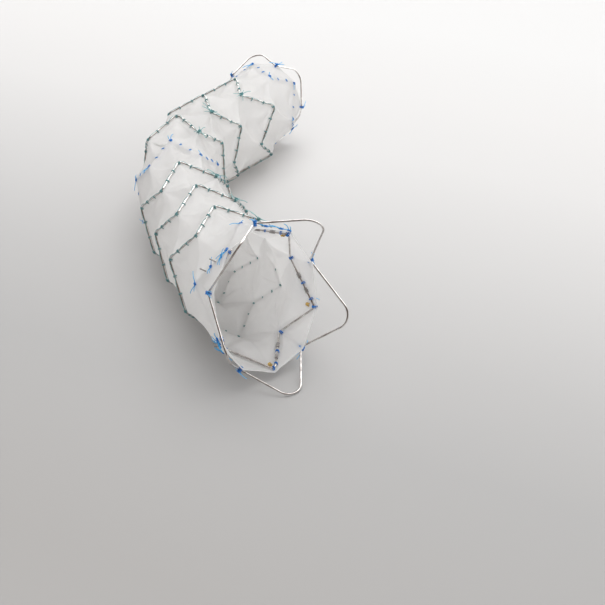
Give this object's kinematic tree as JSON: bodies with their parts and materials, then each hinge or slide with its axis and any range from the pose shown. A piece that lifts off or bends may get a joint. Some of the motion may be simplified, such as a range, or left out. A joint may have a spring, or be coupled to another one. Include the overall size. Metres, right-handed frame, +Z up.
{
  "type": "stent graft extension",
  "caption": "Bent tube of woven graft fabric held open by zigzag wire stents, with flared bare stents at both open ends, barbs near one of them and gold markers.",
  "frame": {"origin": "middle of the footprint, on the surface that the tube lies on", "axes": "+Z up, +Y along the length from the near opening, the wider one with the barbs, to the far opening, +X to the right"},
  "size_m": [0.0664, 0.1822, 0.0468],
  "materials": {
    "graft_fabric": "white woven polyester, thin and slightly translucent",
    "stent_wire": "electropolished nitinol wire",
    "crimped_steel": "crimped stainless tube and barb wire",
    "gold": "polished gold",
    "blue_thread": "braided blue suture",
    "green_thread": "braided green suture"
  },
  "bodies": {
    "root": {"barbs": "crimped_steel", "crimp_sleeves": "crimped_steel", "far_bare_stent": "stent_wire", "far_edge_stitches": "blue_thread", "far_gold_markers": "gold", "far_seal_stent": "stent_wire", "far_seal_stent_stitches": "blue_thread", "graft_fabric": "graft_fabric", "middle_inner_stent": "stent_wire", "middle_inner_stent_stitches": "blue_thread", "near_bare_stent": "stent_wire", "near_edge_stitches": "blue_thread", "near_gold_markers": "gold", "near_seal_stent": "stent_wire", "near_seal_stent_stitches": "blue_thread", "outer_stent_1": "stent_wire", "outer_stent_1_stitches": "green_thread", "outer_stent_2": "stent_wire", "outer_stent_2_stitches": "green_thread", "outer_stent_3": "stent_wire", "outer_stent_3_stitches": "green_thread", "outer_stent_4": "stent_wire", "outer_stent_4_stitches": "green_thread", "outer_stent_5": "stent_wire", "outer_stent_5_stitches": "green_thread", "outer_stent_6": "stent_wire", "outer_stent_6_stitches": "green_thread"}
  },
  "joints": []
}
